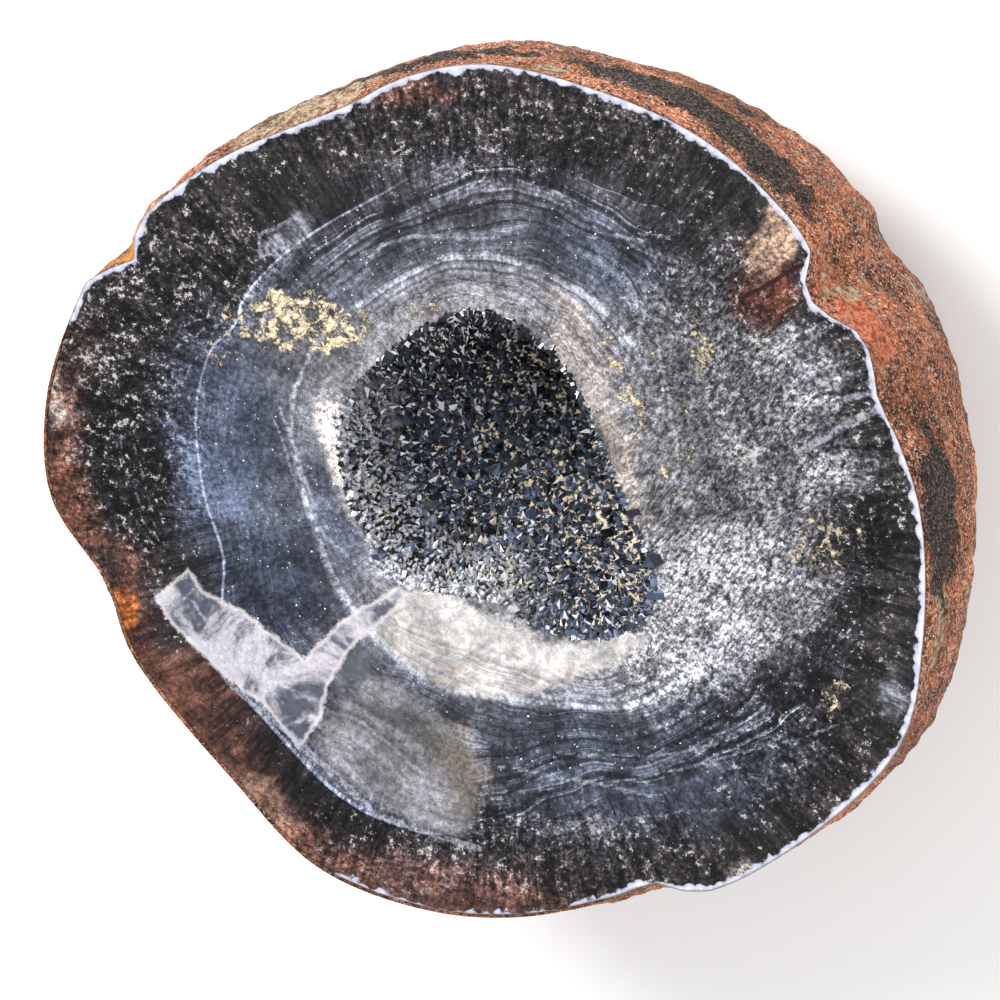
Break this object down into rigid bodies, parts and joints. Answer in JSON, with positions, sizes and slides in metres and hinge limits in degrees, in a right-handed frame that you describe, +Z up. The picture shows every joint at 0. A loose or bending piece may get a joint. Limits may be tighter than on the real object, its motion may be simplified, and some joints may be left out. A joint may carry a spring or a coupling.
{
  "type": "geode half",
  "caption": "Half of a dark agate geode, sawn flat on top, with an open cavity lined with small quartz crystals. It rests on its rounded back.",
  "frame": {"origin": "under the middle of the stone's outline, at the level of the worn spot on the rounded back that it rests on", "axes": "+Z up, out of the sawn face. +X across the sawn face along its longer way, +Y across its shorter way."},
  "size_m": [0.1182, 0.1094, 0.047],
  "materials": {
    "agate": "satin",
    "quartz": "gloss"
  },
  "bodies": {
    "root": {"agate_stone": "agate", "drusy_quartz_lining": "quartz"}
  },
  "joints": []
}
